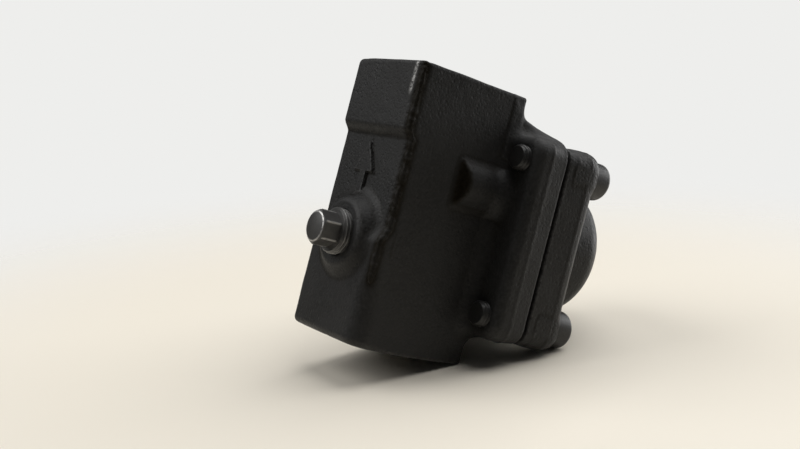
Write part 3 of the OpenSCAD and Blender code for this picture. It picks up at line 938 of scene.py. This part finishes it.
def make_plug():
    """Hex bar turned down at its face, joined to a tapered thread."""
    centre = np.array((0, 0, PLUG_Z))
    bar = prism("hex", PLUG_HEX, PLUG_TURN, PLUG_FACE_Y - 1, PLUG_HEX_END_Y + 0.6, centre)
    plug = new_object("hex_plug", bar)
    bar.materials.append(PLUG_SKIN)
    face_r, outer_r = PLUG_HEX / 2 - 0.5, PLUG_HEX_CORNER_R + 0.05
    profile = [(0, 0), (face_r, 0), (face_r + 0.25, 0.1), (outer_r, 1.1), (outer_r, 9), (0, 9)]
    turned = lathe("turned", profile, (0, PLUG_FACE_Y, PLUG_Z), (0, 1, 0), 96)
    cut(plug, [turned], PLUG_SKIN, "INTERSECT")
    thread = threaded("thread", PLUG_THREAD_R, PLUG_THREAD_DEPTH, PLUG_THREAD_PITCH, PLUG_HEX_END_Y,
                      PLUG_END_Y, centre, taper=PLUG_TAPER, steps=72, run_in=0.8)
    cut(plug, [thread], PLUG_SKIN, "UNION")
    finish_edges(plug.data, 40)
    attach(plug, "trap_body")
    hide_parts("strainer_plug")


# ================================================================ pieces kept from the frame
INNER_BEVEL = 0.12


def dress(node, material, bevel):
    """Gives a frame piece its finish and, where wanted, small rounded edges."""
    obj = frame["nodes"][node]
    obj.data.materials.clear()
    obj.data.materials.append(material)
    if bevel:
        step = obj.modifiers.new("edges", "BEVEL")
        step.width = bevel * MM
        step.segments = 2
        step.limit_method = "ANGLE"
        step.angle_limit = math.radians(40)


def dress_inner_pieces():
    stainless = machined("stainless", 0.52, 0.30)
    hardened = machined("hard_stainless", 0.60, 0.16, stain=0.15)
    strip = machined("bimetal_strip", 0.46, 0.33, warm=0.13)
    gasket = wound("wound_gasket")
    finishes = {"cover_gasket": gasket, "seat_gasket": gasket, "strainer_screen": stainless,
                "valve_seat": hardened, "stack_base": stainless, "valve_stem": hardened}
    for node in frame["nodes"]:
        if node in ("body", "cover", "cover_screws", "strainer_plug"):
            continue
        material = finishes.get(node, strip if node.startswith("bimetal") else stainless)
        dress(node, material, 0.0 if node == "strainer_screen" else INNER_BEVEL)


# ================================================================ floor, lights, camera
AZIMUTH = math.radians(53.96)
ROLL = math.radians(14.48)
TARGET = Vector((-8.37, 3.5, 45.34)) * MM
DISTANCE = 406.5 * MM
LENS = 48.37

# In metres: the trap's feet are below FOOT_ZONE_Z, and the edge it leans back on is behind FOOT_ZONE_Y
FOOT_ZONE_Z = 0.03
FOOT_ZONE_Y = 0.01
FLOOR_R = 0.6
FLOOR_FADE = (0.10, 0.42)
PAPER = (0.86, 0.80, 0.69, 1)
BACKDROP = (0.855, 0.855, 0.84, 1)
FILL = (0.9, 0.95, 1.0, 1)
FILL_STRENGTH = 0.04
# Name, place and size in metres, power in watts
SOFTBOXES = (
    ("left_softbox", (-0.6, -0.95, 0.6), (0.9, 0.9), 9),
    ("top_softbox", (0.0, 0.1, 1.3), (1.5, 1.5), 19),
    ("right_softbox", (0.12, 1.15, 0.5), (0.8, 0.9), 8),
)


def make_camera():
    """Camera level with the trap's own horizontal plane, rolled because the trap leans back."""
    data = bpy.data.cameras.new("camera")
    data.lens = LENS
    data.clip_start, data.clip_end = 0.01, 20
    camera = new_object("camera", data)
    camera.matrix_world = (Matrix.Translation(TARGET) @ Matrix.Rotation(AZIMUTH, 4, "Z")
                           @ Matrix.Rotation(math.pi / 2, 4, "X")
                           @ Matrix.Rotation(ROLL, 4, "Z") @ Matrix.Translation((0, 0, DISTANCE)))
    bpy.context.scene.camera = camera


def resting_plane(pieces):
    """The plane that the leaning trap rests on, as (angle about X, a point of contact)."""
    points = set()
    for obj in pieces:
        co = np.zeros(len(obj.data.vertices) * 3)
        obj.data.vertices.foreach_get("co", co)
        co = co.reshape(-1, 3)
        points.update(map(tuple, np.round(co[co[:, 2] < FOOT_ZONE_Z][:, 1:], 6)))
    hull = []
    for p in sorted(points):
        while len(hull) > 1:
            (ay, az), (by, bz) = hull[-2:]
            if (by - ay) * (p[1] - az) - (bz - az) * (p[0] - ay) > 0:
                break
            hull.pop()
        hull.append(p)
    spans = [pair for pair in zip(hull, hull[1:]) if pair[0][0] > FOOT_ZONE_Y]
    low, high = max(spans, key=lambda pair: pair[1][0] - pair[0][0])
    return math.atan2(high[1] - low[1], high[0] - low[0]), Vector((0, low[0], low[1]))


def floor_material():
    """Warm pale paper that fades into the backdrop with distance."""
    material, nodes, links = empty_material("floor_paper")
    out = nodes.new("ShaderNodeOutputMaterial")
    paper = nodes.new("ShaderNodeBsdfPrincipled")
    paper.inputs["Base Color"].default_value = PAPER
    paper.inputs["Roughness"].default_value = 0.45
    clear = nodes.new("ShaderNodeBsdfTransparent")
    fade = nodes.new("ShaderNodeMixShader")
    place = nodes.new("ShaderNodeTexCoord")
    length = nodes.new("ShaderNodeVectorMath")
    length.operation = "LENGTH"
    ramp = nodes.new("ShaderNodeMapRange")
    ramp.interpolation_type = "SMOOTHERSTEP"
    ramp.inputs["From Min"].default_value, ramp.inputs["From Max"].default_value = FLOOR_FADE
    links.new(place.outputs["Object"], length.inputs[0])
    links.new(length.outputs["Value"], ramp.inputs["Value"])
    links.new(ramp.outputs["Result"], fade.inputs[0])
    links.new(paper.outputs[0], fade.inputs[1])
    links.new(clear.outputs[0], fade.inputs[2])
    links.new(fade.outputs[0], out.inputs[0])
    return material


def make_floor(pieces):
    """Round floor, tilted to touch the leaning trap."""
    tilt, spot = resting_plane(pieces)
    bpy.ops.mesh.primitive_circle_add(vertices=96, radius=FLOOR_R, fill_type="NGON")
    floor = bpy.context.object
    floor.name = "floor"
    floor.data.materials.append(floor_material())
    floor.matrix_world = Matrix.Translation(spot) @ Matrix.Rotation(tilt, 4, "X")


def make_world():
    """Pale backdrop where the camera sees it, and a faint cool fill on the trap."""
    world = bpy.data.worlds.new("studio")
    bpy.context.scene.world = world
    world.use_nodes = True
    nodes, links = world.node_tree.nodes, world.node_tree.links
    nodes.clear()
    out = nodes.new("ShaderNodeOutputWorld")
    seen, fill = nodes.new("ShaderNodeBackground"), nodes.new("ShaderNodeBackground")
    seen.inputs[0].default_value = BACKDROP
    fill.inputs[0].default_value = FILL
    fill.inputs[1].default_value = FILL_STRENGTH
    path, mix = nodes.new("ShaderNodeLightPath"), nodes.new("ShaderNodeMixShader")
    links.new(path.outputs["Is Camera Ray"], mix.inputs[0])
    links.new(fill.outputs[0], mix.inputs[1])
    links.new(seen.outputs[0], mix.inputs[2])
    links.new(mix.outputs[0], out.inputs[0])


def area_light(name, place, size, power):
    """Soft light aimed at the trap."""
    data = bpy.data.lights.new(name, "AREA")
    data.shape = "RECTANGLE"
    data.size, data.size_y = size
    data.energy = power
    light = new_object(name, data)
    light.location = place
    light.rotation_mode = "QUATERNION"
    light.rotation_quaternion = (TARGET - Vector(place)).to_track_quat("-Z", "Y")


def pin_view_transform():
    settings = bpy.context.scene.view_settings
    settings.view_transform = "Standard"
    settings.look = "None"
    settings.exposure, settings.gamma = 0, 1


def main():
    make_camera()
    body, cover = make_body(), make_cover()
    make_plug()
    screws = [make_screw(i + 1, *corner) for i, corner in enumerate(SCREW_CORNERS)]
    dress_inner_pieces()
    make_floor([body, cover] + screws)
    make_world()
    for softbox in SOFTBOXES:
        area_light(*softbox)
    pin_view_transform()


main()
